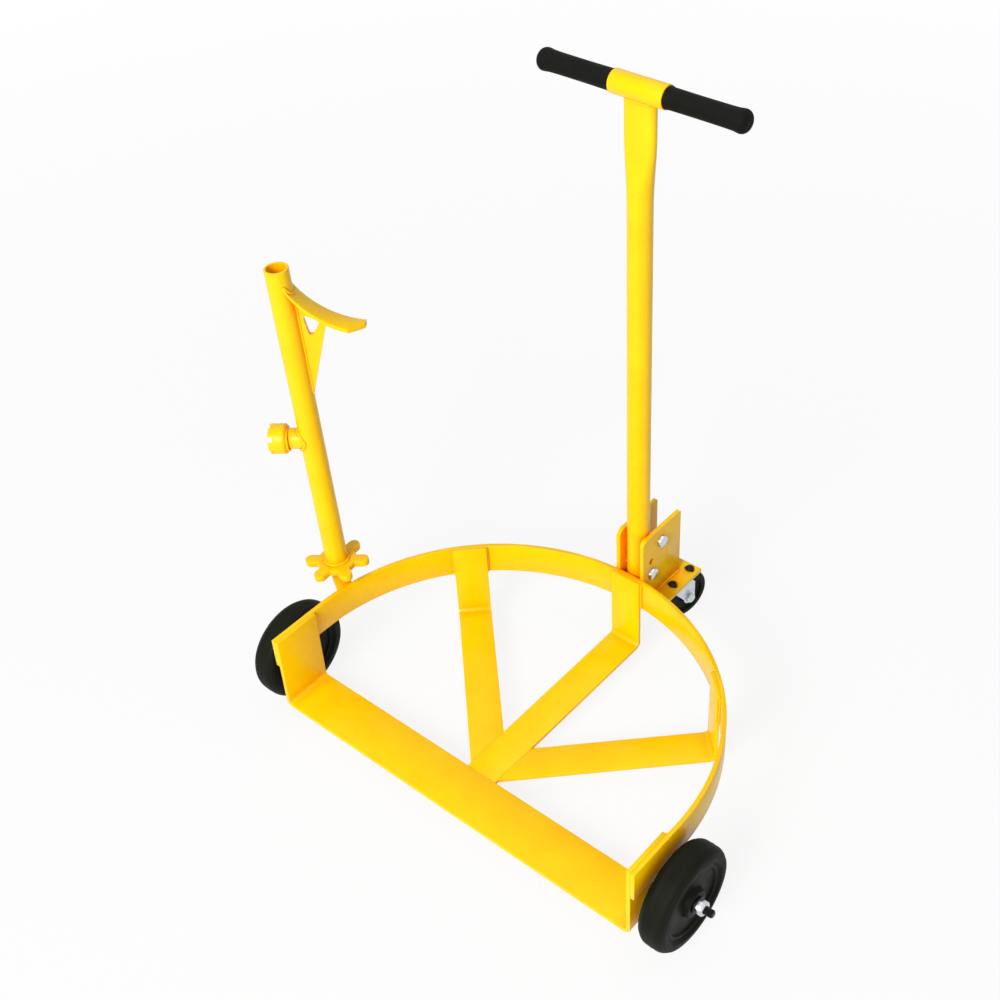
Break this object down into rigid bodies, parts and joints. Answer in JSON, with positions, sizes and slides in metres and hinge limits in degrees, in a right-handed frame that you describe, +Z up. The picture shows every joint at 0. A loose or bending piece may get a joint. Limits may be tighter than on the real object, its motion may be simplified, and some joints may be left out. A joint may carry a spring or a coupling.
{
  "type": "drum trolley",
  "caption": "Low half-round drum trolley of painted flat bar with side wheels, a rear swivel caster, a pivoting T-handle and a lift-off drum lever standing on a post.",
  "frame": {"origin": "centre of the drum's circle on the top face of the deck bars", "axes": "+Z up, +Y to the rear where the handle and caster are, +X to the right-hand wheel"},
  "size_m": [0.8185, 0.5962, 0.9394],
  "materials": {
    "yellow_paint": "gloss",
    "zinc_plate": "bright",
    "tyre_rubber": "satin",
    "wheel_plastic": "satin",
    "grip_rubber": "matte",
    "bush_plastic": "satin",
    "black_oxide": "satin",
    "bearing_steel": "satin"
  },
  "bodies": {
    "frame": {"rim": "yellow_paint", "front_bar": "yellow_paint", "centre_spoke": "yellow_paint", "left_spoke": "yellow_paint", "right_spoke": "yellow_paint", "bracket_plate": "yellow_paint", "left_cheek": "yellow_paint", "right_cheek": "yellow_paint", "pivot_bolt": "zinc_plate", "pivot_nut": "zinc_plate", "stop_bolt": "zinc_plate", "stop_nut": "zinc_plate", "tool_post": "yellow_paint", "stop_ring": "yellow_paint", "caster_top_plate": "zinc_plate", "caster_screws": "black_oxide", "caster_screw_nuts": "zinc_plate", "caster_balls": "bearing_steel", "caster_kingpin": "bearing_steel", "left_axle": "black_oxide", "left_axle_spacer": "zinc_plate", "left_axle_washer": "zinc_plate", "left_axle_nut": "zinc_plate", "right_axle": "black_oxide", "right_axle_spacer": "zinc_plate", "right_axle_washer": "zinc_plate", "right_axle_nut": "zinc_plate"},
    "left_wheel_set": {"left_tyre": "tyre_rubber", "left_wheel_core": "wheel_plastic", "left_wheel_bush": "bush_plastic"},
    "right_wheel_set": {"right_tyre": "tyre_rubber", "right_wheel_core": "wheel_plastic", "right_wheel_bush": "bush_plastic"},
    "handle": {"handle_tube": "yellow_paint", "cross_sleeve": "yellow_paint", "crossbar": "bearing_steel", "left_grip": "grip_rubber", "right_grip": "grip_rubber"},
    "lever": {"lever_tube": "yellow_paint", "star_head": "yellow_paint", "side_stub": "yellow_paint", "side_head": "yellow_paint", "hook_gusset": "yellow_paint", "hook_lip": "yellow_paint"},
    "caster_yoke": {"caster_fork": "zinc_plate", "caster_axle_bolt": "zinc_plate", "caster_axle_nut": "zinc_plate"},
    "caster_roller": {"caster_wheel": "wheel_plastic", "caster_wheel_bush": "bush_plastic"}
  },
  "joints": [
    {"name": "left_wheel_spin", "type": "hinge", "parent": "frame", "child": "left_wheel_set", "pos_m": [-0.353, -0.0334, 0.0392], "axis": [1, 0, 0], "continuous": true},
    {"name": "right_wheel_spin", "type": "hinge", "parent": "frame", "child": "right_wheel_set", "pos_m": [0.353, -0.0334, 0.0392], "axis": [1, 0, 0], "continuous": true},
    {"name": "caster_swivel", "type": "hinge", "parent": "frame", "child": "caster_yoke", "pos_m": [0, 0.404, 0.06], "axis": [0, 0, 1], "continuous": true},
    {"name": "caster_wheel_spin", "type": "hinge", "parent": "caster_yoke", "child": "caster_roller", "pos_m": [0.00852, 0.4441, 0.0043], "axis": [0.9781, -0.2079, 0], "continuous": true},
    {"name": "handle_lean", "type": "hinge", "parent": "frame", "child": "handle", "pos_m": [0, 0.3445, 0.126], "axis": [1, 0, 0], "range_deg": [0, 32]},
    {"name": "lever_lift", "type": "slide", "parent": "frame", "child": "lever", "axis": [-0.0618, 0.0109, 0.998], "range_m": [0, 0.125]}
  ]
}
